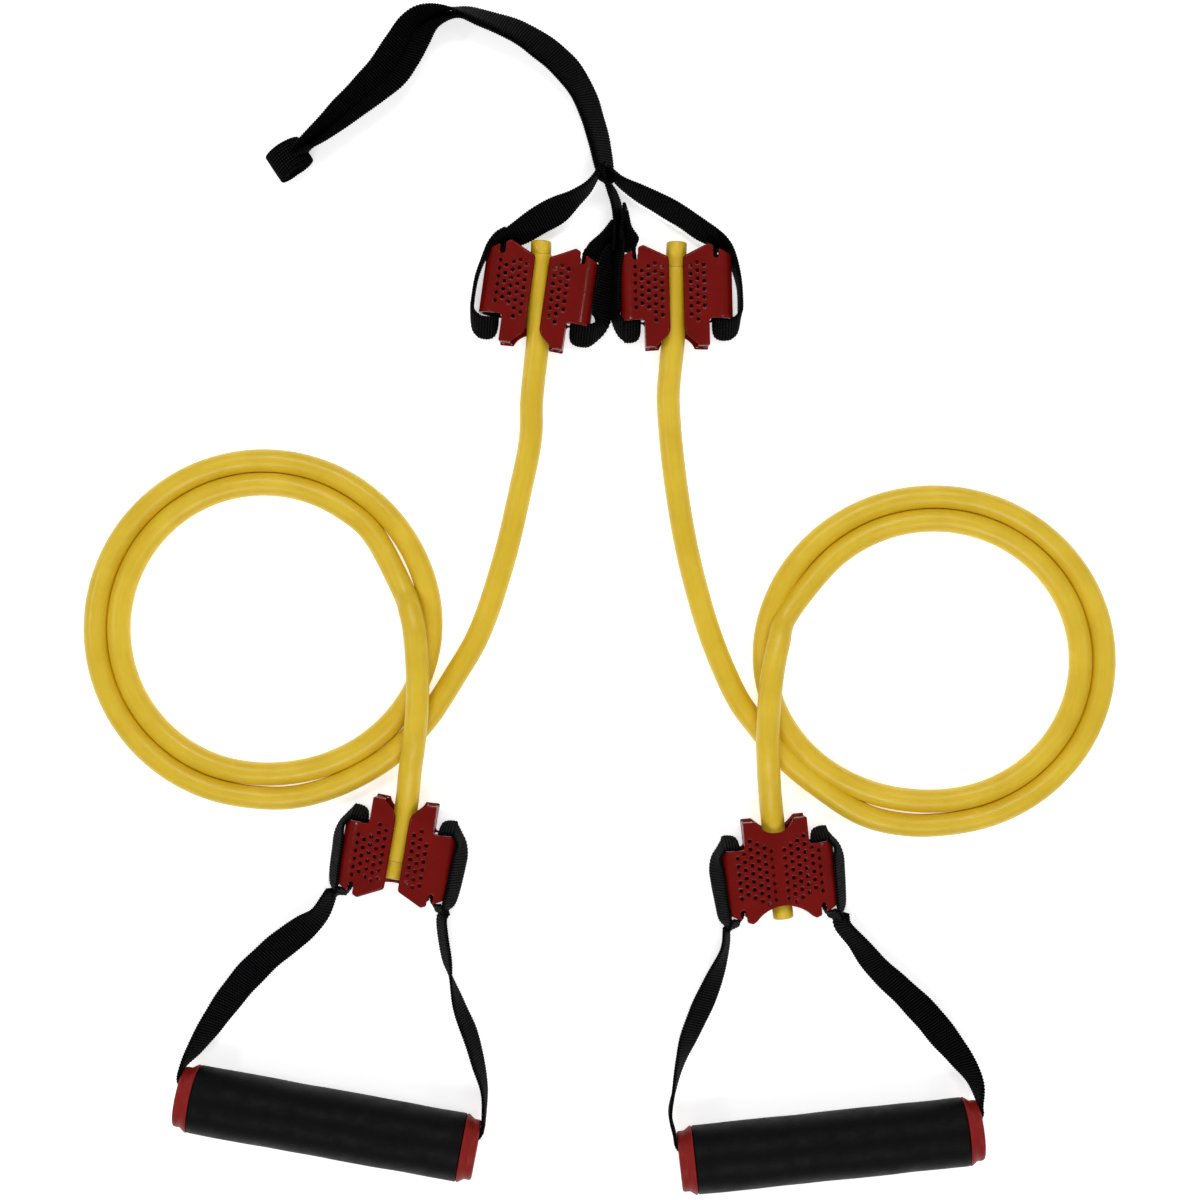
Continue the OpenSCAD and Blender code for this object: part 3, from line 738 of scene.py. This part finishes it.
# From here the two layers part and lean away from each other
PARTED = {
    "outer": [
        (-63.5, 274.3, 8.8, 84), (-73, 272.2, 8.6, 106), (-78.8, 267, 8.4, 122),
        (-84.2, 259, 8.2, 131), (-90.7, 249, 8, 133), (-99.2, 239, 8, 130),
        (-110.7, 227.8, 8, 120), (-120, 219, 8, 106), (-127, 213, 7.8, 96),
        (-133, 207.6, 7.6, 90),
    ],
    "inner": [
        (-61.5, 272.8, 8.8, 62), (-69.3, 268.8, 8.6, 52), (-74.6, 261, 8.4, 44),
        (-79.3, 252.2, 8.2, 43), (-86, 243, 8, 43), (-96, 234.9, 8, 46),
        (-108, 225.6, 8, 52), (-118.6, 217.2, 8, 62), (-126.4, 211, 7.8, 78),
        (-132.6, 206.8, 7.6, 90),
    ],
}
LAYER_GAP = 0.2


def door_strap():
    for layer, side in (("outer", 1), ("inner", -1)):
        lift = side * (WEB_T / 2 + LAYER_GAP / 2)
        piece = webbing(f"door_strap_{layer}", ANCHOR_ROUTE + PARTED[layer], lift=lift)
        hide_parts(f"anchor_strap_{layer}")
        if side > 0:
            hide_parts("anchor_junction")
        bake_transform(piece)


door_strap()

STOPPER = (-134.8, 205.8, 33.7)  # its middle on the floor plan, and its turn about Z
STOPPER_LONG, STOPPER_HIGH = 10.3, 6.6  # half the roll's size along the strap and upright
ROLL_TURNS, ROLL_INNER = 2.75, 0.5  # the inner end's share of the roll's size
ROLL_START = math.radians(40)
ROLL_T = 1.35  # thinner than the strap, so that the turns stay apart
CORE_SHARE, CORE_SHORT = 0.42, 2.6  # the core's share of the roll, and its ends' depth in it
CORE_SIDES = 24


def stopper():
    """The strap's end rolled up: an oval spiral of webbing round its core."""
    angle = np.linspace(0, ROLL_TURNS * 2 * math.pi, int(ROLL_TURNS * 40))
    grow = ROLL_INNER + (1 - ROLL_INNER) * angle / angle[-1]
    x, y, turn = STOPPER
    c, s = cos_sin(turn)
    axis, level = np.array([-s, c, 0]), np.array([c, s, 0])
    centre = np.array([x, y, STOPPER_HIGH + 0.3])
    across = (STOPPER_LONG - ROLL_T / 2) * grow * np.cos(angle + ROLL_START)
    up = (STOPPER_HIGH - ROLL_T / 2) * grow * np.sin(angle + ROLL_START)
    path = even(centre + across[:, None] * level + up[:, None] * UP, RIB_PITCH / RIB_STEPS)
    normal = np.cross(unit(np.gradient(path, axis=0)), axis)
    along = lengths(path)
    rib = RIB_HEIGHT * (0.5 + 0.5 * np.cos(2 * math.pi * along / RIB_PITCH))
    half_w = WEB_W / 2 - 0.9 + rib + 0.25 * np.sin(along / 6)
    # the turns are a little out of step, so the ends are not flat
    sway = 0.45 * np.sin(along / 5.2)
    a = half_w[:, None] * WEB_SECTION[None, :, 0] + sway[:, None]
    o = (ROLL_T / 2 - RIB_HEIGHT + rib)[:, None] * WEB_SECTION[None, :, 1]
    rings = path[:, None, :] + a[..., None] * axis + o[..., None] * normal[:, None, :]
    perimeter = np.linspace(0, 2 * (WEB_W + ROLL_T), len(WEB_SECTION) + 1)
    points, faces, uv = loft(rings, perimeter, along)
    piece = add_mesh("stopper_roll", points, faces, WEBBING, uv)
    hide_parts("stopper_wrap")
    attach(piece, "anchor_strap")
    # the core inside it, an oval plug short of the roll's ends
    n = CORE_SIDES
    oval = circle_points(n, CORE_SHARE * STOPPER_LONG * level, CORE_SHARE * STOPPER_HIGH * UP)
    ends = [centre + side * (WEB_W / 2 - CORE_SHORT) * axis + oval for side in (-1, 1)]
    faces = band(0, n, n) + [tuple(range(n))[::-1], tuple(range(n, 2 * n))]
    plug = add_mesh("stopper_middle", np.vstack(ends), faces, CORE)
    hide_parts("stopper_core")
    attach(plug, "anchor_strap")


stopper()

# ---- clamps ----

SIDE_R = 7.5
SIDE_W = 10.5  # the rounding reaches this far in from the outer side
HORN_U = 14.9
SHOULDER_V = 12.7
CORNER_V = CLAMP_LEN - 4.8
VALLEY_D = 1.0
VALLEY_U = 6.0
HOLE_D = 1.8
HOLE_PITCH = 3.75
# Columns of holes: distance from the middle, height of the first hole, and how many
WIDE_HOLES = [(6.65, 14.5, 7), (9.75, 12.2, 8), (12.85, 18.4, 6), (15.95, 20.2, 5),
              (19.05, 18.4, 6)]
NARROW_HOLES = WIDE_HOLES[:3]
BACK_HOLES = [(2.9, 14.4, 7), (6.1, 12.5, 8), (9.3, 10.7, 8), (12.5, 8.8, 8), (15.7, 14.4, 6),
              (18.9, 16.2, 6)]
HOLE_SIDES = 14
HOLE_LIP = 0.22
THIN_EDGE, BEAD = 0.42, 1.3  # radii of the skin's edge


def arc(cx, cy, r, start, stop, n):
    a = np.radians(np.linspace(start, stop, n + 1))
    return [(cx + r * math.cos(x), cy + r * math.sin(x)) for x in a]


def section_line():
    """The outside of a jaw's section, from the hinge round to the slit, as points u, z."""
    u = np.linspace(0, VALLEY_U, 14)
    back = [(x, VALLEY_D * (0.5 + 0.5 * math.cos(math.pi * x / VALLEY_U))) for x in u]
    half = CLAMP_W / 2
    back += [(x, 0.0) for x in np.linspace(VALLEY_U + 1, half - SIDE_W - 0.5, 14)]
    turn = np.radians(np.linspace(0, 90, 23))
    bow = [(half - SIDE_W + SIDE_W * math.sin(t), SIDE_R * (1 - math.cos(t))) for t in turn]
    side = bow + [(u, CLAMP_D - z) for u, z in bow[::-1]]
    front = [(x, CLAMP_D) for x in np.linspace(half - SIDE_W - 0.5, SLIT_W / 2, 16)]
    return np.array(back + side + front)


SECTION = section_line()
SECTION_S = lengths(np.column_stack([SECTION, np.zeros(len(SECTION))]))
SECTION_T = unit(np.gradient(SECTION, axis=0))
SIDE_INDEX = int(np.argmax(SECTION[:, 0]))


def s_back(u):
    return float(np.interp(u, SECTION[:SIDE_INDEX + 1, 0], SECTION_S[:SIDE_INDEX + 1]))


def s_front(u):
    return float(np.interp(-u, -SECTION[SIDE_INDEX + 1:, 0], SECTION_S[SIDE_INDEX + 1:]))


def top_edge(u):
    """Height of the sloping edge from the peak out to the corner."""
    u0, v0 = HORN_U + 0.7, CLAMP_LEN - 0.15
    share = (u - u0) / (CLAMP_W / 2 - u0)
    return v0 + (CORNER_V - v0) * share


def slot_edge():
    """The notch for the loop of webbing, from its outer lip to its inner lip."""
    r = SLOT_W / 2
    low = CLAMP_LEN - SLOT_DEPTH
    outer, inner = SLOT_U + r, SLOT_U - r
    points = []
    for u, away in ((outer, 0.5), (inner, -0.5)):
        points.append([(u + away, top_edge(u + away)), (u, top_edge(u) - 0.5), (u, low + 1.5)])
    return points[0] + arc(SLOT_U, low, r, 0, -180, 8) + points[1][::-1]


def jaw_outline():
    """The jaw's outline on its developed skin: s, v and the radius of its edge."""
    lip = SLIT_W / 2

    def back(line):
        return [(s_back(u), v, THIN_EDGE) for u, v in line]

    def front(line, radius=THIN_EDGE):
        return [(s_front(u), v, radius) for u, v in line]

    horn = arc(HORN_U - 0.6, 0.6, 0.6, -90, 0, 3)
    horn += arc(HORN_U + 1.5, SHOULDER_V - 1.5, 1.5, 180, 90, 4)
    peak = arc(HORN_U, CLAMP_LEN - 1.6, 1.6, 65, 110, 5)
    over = [(u, top_edge(u)) for u in (22.0, 23.6, 24.8, 25.6)]
    # where the tube enters: the back from the hinge outwards, the shoulder, and the front's horn
    points = back(arc(0, -2.7, 9, 90, 19.4, 9)) + back(horn)
    start, stop = s_back(HORN_U + 1.5), s_front(HORN_U + 1.5)
    points += [(s, SHOULDER_V, THIN_EDGE) for s in np.linspace(start, stop, 32)[1:-1]]
    points += front(horn[::-1])
    # the inner edge of the front, rolled to a bead
    points += front([(lip + 6.9, 0.0), (lip + 6.4, 0.35)], 0.8)
    points += front(arc(lip + 6.8, 9, 6.8, 240, 180, 8), BEAD)
    points += front([(lip, v) for v in np.linspace(10.5, CLAMP_LEN - 7.5, 18)], BEAD)
    points += front(arc(lip + 1.8, CLAMP_LEN - 6.6, 1.8, 180, 108, 4), BEAD)
    # the plug's side: peak, slot and corner in front, then the same behind
    points += front(peak[::-1]) + front(slot_edge()[::-1]) + front(over)
    start, stop = s_front(CLAMP_W / 2 - 0.05), s_back(CLAMP_W / 2 - 0.05)
    points += [(s, CORNER_V, THIN_EDGE) for s in np.linspace(start, stop, 6)]
    points += back(over[::-1]) + back(slot_edge()) + back(peak)
    points += back(arc(0, CLAMP_LEN + 10, 16.9, -41, -90, 12))
    # along the hinge, where the other jaw's skin goes on
    points += [(0.0, v, 0.02) for v in np.linspace(CLAMP_LEN - 6.9, 6.3, 16)[1:-1]]
    return np.array(points)


def inset(outline, distance):
    """The outline moved inwards by a distance for each point."""
    p = outline[:, :2]
    before, after = unit(p - np.roll(p, 1, axis=0)), unit(np.roll(p, -1, axis=0) - p)
    normal = unit(np.column_stack([-(before + after)[:, 1], (before + after)[:, 0]]))
    cos_half = np.abs((normal * np.column_stack([-after[:, 1], after[:, 0]])).sum(axis=1))
    return p + normal * (distance / np.maximum(cos_half, 0.75))[:, None]


def inside(points, polygon):
    """Whether each point lies in the polygon."""
    x, y = points[:, 0][:, None], points[:, 1][:, None]
    x1, y1 = polygon[:, 0][None], polygon[:, 1][None]
    x2, y2 = np.roll(polygon[:, 0], -1)[None], np.roll(polygon[:, 1], -1)[None]
    crosses = (y1 > y) != (y2 > y)
    with np.errstate(divide="ignore", invalid="ignore"):
        at = x1 + (y - y1) / (y2 - y1) * (x2 - x1)
    return (crosses & (x < at)).sum(axis=1) % 2 == 1


def nearest(points, others):
    """Each point's distance from the nearest of the others."""
    out = np.full(len(points), 1e9)
    for o in others:
        out = np.minimum(out, np.hypot(points[:, 0] - o[0], points[:, 1] - o[1]))
    return out


GRID = 1.35  # spacing of the points that fill the skin


def fill(loop, rings):
    """Triangles over the area inside loop and outside the rings: all points, the loops' first."""
    low, high = loop.min(axis=0), loop.max(axis=0)
    grid = np.array([
        (x + (GRID / 2 if k % 2 else 0), y)
        for k, y in enumerate(np.arange(low[1], high[1], GRID * 0.87))
        for x in np.arange(low[0], high[0], GRID)
    ])
    edge_points = np.vstack([loop] + rings)
    grid = grid[inside(grid, loop)]
    for ring in rings:
        grid = grid[~inside(grid, ring)]
    grid = grid[nearest(grid, edge_points) > GRID * 0.55]
    points = np.vstack([edge_points, grid])
    edges, start = [], 0
    for part in [loop] + rings:
        n = len(part)
        edges += [(start + k, start + (k + 1) % n) for k in range(n)]
        start += n
    made = geometry.delaunay_2d_cdt([Vector(p) for p in points.tolist()], edges, [], 0, 1e-7)
    back_to = {new: old[0] for new, old in enumerate(made[3]) if old}
    triangles = np.array([[back_to[i] for i in f] for f in made[2] if all(i in back_to for i in f)])
    centres = points[triangles].mean(axis=1)
    keep = inside(centres, loop)
    for ring in rings:
        keep &= ~inside(centres, ring)
    return points, triangles[keep]


def skin_point(s, v, depth):
    """A point of the jaw's skin in the clamp's frame, depth below its outside."""
    u, z = (np.interp(s, SECTION_S, SECTION[:, k]) for k in (0, 1))
    t = unit(np.column_stack([np.interp(s, SECTION_S, SECTION_T[:, k]) for k in (0, 1)]))
    # the skin thins towards the hinge
    depth = depth * (0.55 + 0.45 * np.clip(s / VALLEY_U, 0, 1))
    return np.column_stack([u - t[:, 1] * depth, v, z + t[:, 0] * depth])


WALL_U, WALL_T = 14.27, 0.95
LINER_Z = 8.0
# Plates inside a jaw: line of u and z, lowest and highest v, and thickness. They are the wall
# between the two channels, a liner behind the holes in four plates, and the horn's end.
PLATES = [
    ([(WALL_U, 1.4), (WALL_U, CLAMP_D - 1.4)], (0.6, CLAMP_LEN - 0.9), WALL_T),
    ([(0.4, 2.3), (2.5, 2.5), (4.8, 3.7), (6.4, 5.8)], (9.0, 39.6), WALL_T),
    ([(6.4, 6.0), (7.4, LINER_Z), (WALL_U - 0.7, LINER_Z)], (8.5, 41.0), WALL_T),
    ([(WALL_U + 0.7, LINER_Z), (17.4, LINER_Z)], (13.6, 41.5), WALL_T),
    ([(20.2, LINER_Z), (24.6, LINER_Z)], (13.6, 41.5), WALL_T),
    ([(9.9, MID_Z), (WALL_U + 0.2, MID_Z)], (0.9, 1.9), CLAMP_D - 1.6),
]


def slab(line, ends, thickness):
    """A plate that follows a line of u, z between two heights."""
    line = np.array(line)
    t = unit(np.gradient(line, axis=0))
    normal = np.column_stack([-t[:, 1], t[:, 0]]) * thickness / 2
    ring = np.vstack([line + normal, (line - normal)[::-1]])
    n, half = len(ring), len(line)
    points = np.vstack([np.column_stack([ring[:, 0], np.full(n, v), ring[:, 1]]) for v in ends])
    faces = band(0, n, n)
    for k in range(half - 1):
        a, b, c, d = k, k + 1, n - 2 - k, n - 1 - k
        faces += [(d, c, b, a), (n + a, n + b, n + c, n + d)]
    return points, faces


RIM = [0, 25, 50, 70, 90]  # degrees round a rounded edge


def half_clamp(front_holes):
    """Points and faces of the right-hand jaw: a thin moulded skin with rounded edges and holes."""
    outline = jaw_outline()
    radius = outline[:, 2].copy()
    for _ in range(2):
        soft = (np.roll(radius, 1) + radius + np.roll(radius, -1)) / 3
        radius = np.where(radius < 0.1, radius, soft)
    middles = [(s_front(u), v0 + k * HOLE_PITCH) for u, v0, n in front_holes for k in range(n)]
    middles += [(s_back(u), v0 + k * HOLE_PITCH) for u, v0, n in BACK_HOLES for k in range(n)]
    middles = np.array(middles)
    circle = circle_points(HOLE_SIDES, np.array([1, 0]), np.array([0, 1]))
    hole_r = HOLE_D / 2
    points, faces = [], []

    def add(made, more=()):
        """Adds points, and faces over them, and tells the number of the first point."""
        first = sum(map(len, points))
        points.append(made)
        faces.extend(tuple(first + i for i in f) for f in more)
        return first

    def put(flat, depth, triangles=()):
        return add(skin_point(flat[:, 0], flat[:, 1], depth), triangles)

    # outside and inside
    wide = [c + circle * (hole_r + HOLE_LIP) for c in middles]
    top, triangles = fill(inset(outline, radius), wide)
    first = put(top, np.zeros(len(top)), triangles.tolist())
    low, triangles = fill(inset(outline, radius * 1.9), [c + circle * hole_r for c in middles])
    under = put(low, np.full(len(low), CLAMP_WALL), triangles[:, ::-1].tolist())

    # the rim of the outline, from the outside round to the inside
    n = len(outline)
    full = np.maximum(CLAMP_WALL, 2 * radius)
    before = first
    for degrees, lower in [(d, False) for d in RIM[1:]] + [(d, True) for d in RIM[::-1]]:
        c, s = cos_sin(degrees)
        drop = radius * (1 - c)
        now = put(inset(outline, radius * (1 - s)), full - drop if lower else drop)
        faces += band(before, now, n, -1)
        before = now
    faces += band(before, under, n, -1)

    # the rims of the holes
    for h, middle in enumerate(middles):
        start = n + h * HOLE_SIDES
        before = first + start
        for share, depth in ((0.3, 0.07), (0.0, HOLE_LIP), (0.0, CLAMP_WALL * 0.9)):
            ring = middle + circle * (hole_r + HOLE_LIP * share)
            now = put(ring, np.full(HOLE_SIDES, depth))
            faces += band(before, now, HOLE_SIDES)
            before = now
        faces += band(before, under + start, HOLE_SIDES)

    for plate in PLATES:
        add(*slab(*plate))
    return np.vstack(points), faces


def clamps():
    shapes = {"wide": half_clamp(WIDE_HOLES), "narrow": half_clamp(NARROW_HOLES)}
    for clamp, place in CLAMPS.items():
        order = ("wide", "narrow") if "anchor" in clamp else ("narrow", "wide")
        for jaw, side, holes in zip("ab", (-1, 1), order):
            points, faces = shapes[holes]
            piece = add_mesh(f"{clamp}_clamp_{jaw}", to_world(place, points, side), faces, RED)
            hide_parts(f"{clamp}_clamp_jaw_{jaw}")
            if jaw == "a":
                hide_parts(f"{clamp}_clamp_hinge")
            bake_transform(piece)


clamps()

# ---- grips ----

GRIP_SIDES = 96
# Waves of the foam's swell: along the grip, turns round it, and shift
SWELL = [(0.11, 2, 0.4), (0.19, 3, 1.9), (0.31, 1, 3.1)]
FOAM_EDGE = 0.9
FOAM_BORE_R = 11.1


def turned(name, grip, line, material, bumps=0.0):
    """A piece turned about a grip's axis: line holds distance along the axis and radius."""
    x, y, turn = grip
    c, s = cos_sin(turn)
    axis, level = np.array([c, s, 0]), np.array([-s, c, 0])
    angle = np.linspace(0, 2 * math.pi, GRIP_SIDES, endpoint=False)
    line = np.array(line)
    swell = np.zeros((len(line), GRIP_SIDES))
    for k, (wave, turns, shift) in enumerate(SWELL):
        swell += bumps / (k + 1) * np.sin(wave * line[:, :1] + turns * angle[None, :] + shift)
    radius = line[:, 1:2] + swell
    rings = (np.array([x, y, GRIP_Z]) + line[:, 0][:, None, None] * axis
             + radius[..., None] * circle_points(GRIP_SIDES, level, UP)[None])
    along = lengths(np.column_stack([line, np.zeros(len(line))]))
    around = np.linspace(0, 2 * math.pi * line[:, 1].max(), GRIP_SIDES + 1)
    points, faces, uv = loft(rings, around, along, capped=False)
    # the line is a closed one, so the last ring joins the first
    faces += band((len(line) - 1) * GRIP_SIDES, 0, GRIP_SIDES)
    uv += band_uv(around, 0, 1)
    return add_mesh(name, points, faces, material, uv)


def foam_line():
    half = GRIP_LEN / 2 - CAP_LEN
    r = FOAM_D / 2
    edge = arc(FOAM_EDGE - half, r - FOAM_EDGE, FOAM_EDGE, 180, 90, 5)
    top = [(x, r) for x in np.linspace(-half + 2.5, half - 2.5, 60)]
    other = arc(half - FOAM_EDGE, r - FOAM_EDGE, FOAM_EDGE, 90, 0, 5)
    return edge + top + other + [(half, FOAM_BORE_R), (-half, FOAM_BORE_R)]


def cap_line(end):
    """Outside of an end cap from the foam to its dished mouth, and back inside its bore."""
    face, r, bore = GRIP_LEN / 2, FOAM_D / 2, BORE_D / 2
    rim, base = r - 1.9, face - CAP_LEN
    line = [(base + 0.05, 9.6), (base + 0.05, r - 0.9)]
    line += arc(base + 0.45, r - 0.4, 0.4, 180, 90, 4)
    line += [(base + 0.9, r - 0.02), (base + 3.4, rim + 0.16), (base + 3.9, rim + 0.02),
             (face - 1.6, rim - 0.03)]
    line += arc(face - 1.2, rim - 1.2, 1.2, 90, 10, 6)
    line += [(face - 0.15, rim - 2.3), (face - 0.55, bore + 1.9)]
    # the far end of a thin groove, which cuts out through the rim by 0.2 mm
    line += arc(face - 3.4, bore + 3.0, 3.0, 62, 62, 0)
    line += [(face - 1.7, bore + 0.75), (face - 3.0, bore + 0.2), (face - 5.0, bore)]
    line += [(base - 13.0, bore), (base - 13.0, 9.4), (base - 0.1, 9.45)]
    return [(end * a, b) for a, b in line]


def grips():
    for side, grip in GRIPS.items():
        foam = turned(f"{side}_foam", grip, foam_line(), FOAM, bumps=0.09)
        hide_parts(f"{side}_grip_foam")
        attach(foam, f"{side}_grip")
        for name, end in (("a", -1), ("b", 1)):
            cap = turned(f"{side}_cap_{name}", grip, cap_line(end), CAP)
            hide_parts(f"{side}_grip_cap_{name}")
            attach(cap, f"{side}_grip")
        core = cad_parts[f"{side}_grip_core"]
        core.data.materials.clear()
        core.data.materials.append(CORE)


grips()

# ---- floor and light ----

FLOOR_HALF = 4.0  # metres


def floor():
    mesh = bpy.data.meshes.new("floor")
    corners = [(x * FLOOR_HALF, y * FLOOR_HALF, 0) for x, y in ((-1, -1), (1, -1), (1, 1), (-1, 1))]
    mesh.from_pydata(corners, [], [(0, 1, 2, 3)])
    m = Material("floor", (0.92, 0.92, 0.92), 0.9, 0.0)
    m.set("Emission Color", (1, 1, 1, 1))
    m.set("Emission Strength", 0.55)
    mesh.materials.append(m.data)
    obj = bpy.data.objects.new("floor", mesh)
    bpy.context.scene.collection.objects.link(obj)


# Area lights: place and size in metres, and power in watts
LIGHTS = {
    "left_light": ((-1.3, 0.1, 1.1), (0.14, 0.14), 2.5),
    "right_light": ((1.3, 0.1, 1.1), (0.14, 0.14), 1.5),
    "far_light": ((0.0, 1.1, 1.5), (1.2, 0.5), 12),
    "near_light": ((0.0, -1.1, 1.5), (1.2, 0.5), 12),
}


def area_light(name, place, size, power):
    """A light that faces the middle of the floor."""
    data = bpy.data.lights.new(name, "AREA")
    data.shape = "RECTANGLE"
    data.size, data.size_y = size
    data.energy = power
    obj = bpy.data.objects.new(name, data)
    obj.location = place
    aim = Vector((0, 0, 0)) - Vector(place)
    obj.rotation_euler = aim.to_track_quat("-Z", "Y").to_euler()
    bpy.context.scene.collection.objects.link(obj)


def lights():
    world = bpy.data.worlds.new("studio")
    world.use_nodes = True
    background = world.node_tree.nodes["Background"].inputs
    background["Color"].default_value = (1, 1, 1, 1)
    background["Strength"].default_value = 0.30
    bpy.context.scene.world = world
    bpy.context.scene.view_settings.view_transform = "Standard"
    for name, facts in LIGHTS.items():
        area_light(name, *facts)


floor()
lights()
